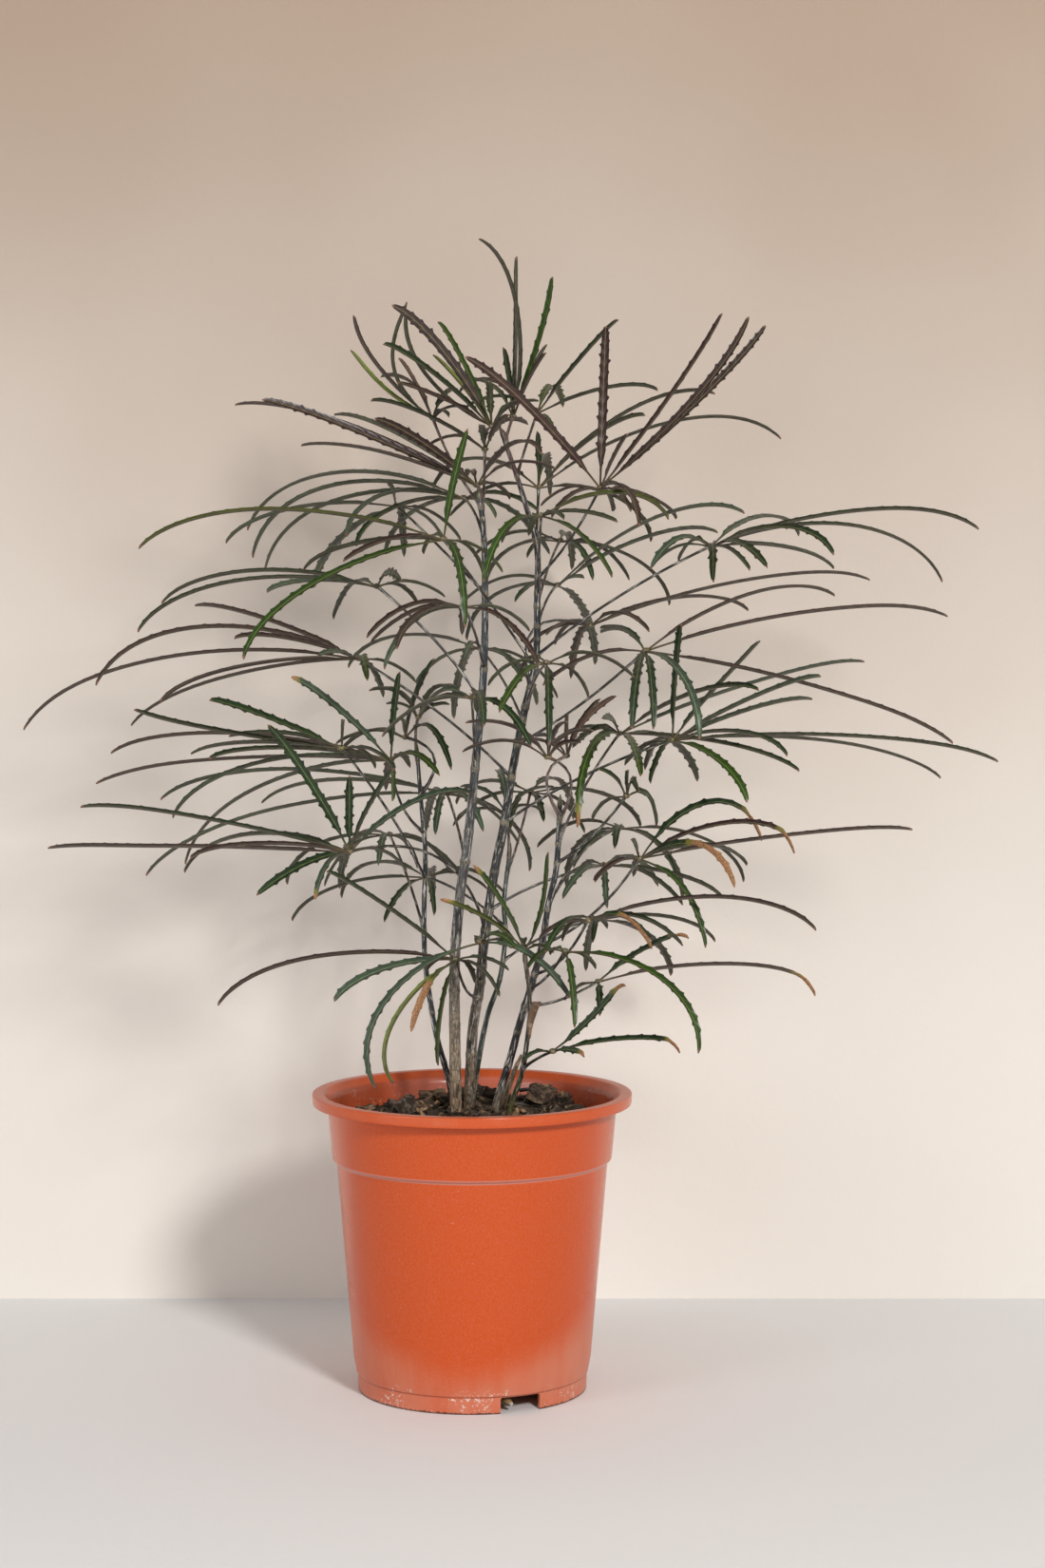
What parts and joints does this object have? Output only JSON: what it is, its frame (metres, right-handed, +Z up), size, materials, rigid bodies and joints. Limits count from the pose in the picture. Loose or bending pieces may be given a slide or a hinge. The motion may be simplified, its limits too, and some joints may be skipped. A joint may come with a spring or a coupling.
{
  "type": "potted false aralia",
  "caption": "Potted false aralia: slender stems with whorls of narrow toothed leaflets, standing in bark soil in a tapered plastic nursery pot.",
  "frame": {"origin": "under the middle of the whole outline, on the surface that the pot stands on", "axes": "+Z up along the stems, -Y towards the front, +X to the viewer's right"},
  "size_m": [0.7252, 0.464, 0.8671],
  "materials": {
    "pot_plastic": "orange moulded plastic, satin, dusty at the foot",
    "bark_soil": "dark, rough bark mix",
    "dry_wood": "dry, pale brown wood",
    "main_stem_growth": "streaked bark with dark green and purple-brown leaflets",
    "second_stem_growth": "grey-brown bark with dark green and purple-brown leaflets",
    "left_stem_growth": "blue-black stem with dark green leaflets",
    "right_stem_growth": "blue-black stem with green leaflets",
    "side_stem_growth": "young shoot with bright green leaflets",
    "back_stem_growth": "green stem with dark green leaflets"
  },
  "bodies": {
    "root": {"pot": "pot_plastic", "soil": "bark_soil", "dead_stub": "dry_wood", "main_stem": "main_stem_growth", "second_stem": "second_stem_growth", "left_stem": "left_stem_growth", "right_stem": "right_stem_growth", "side_stem": "side_stem_growth", "back_stem": "back_stem_growth"}
  },
  "joints": []
}
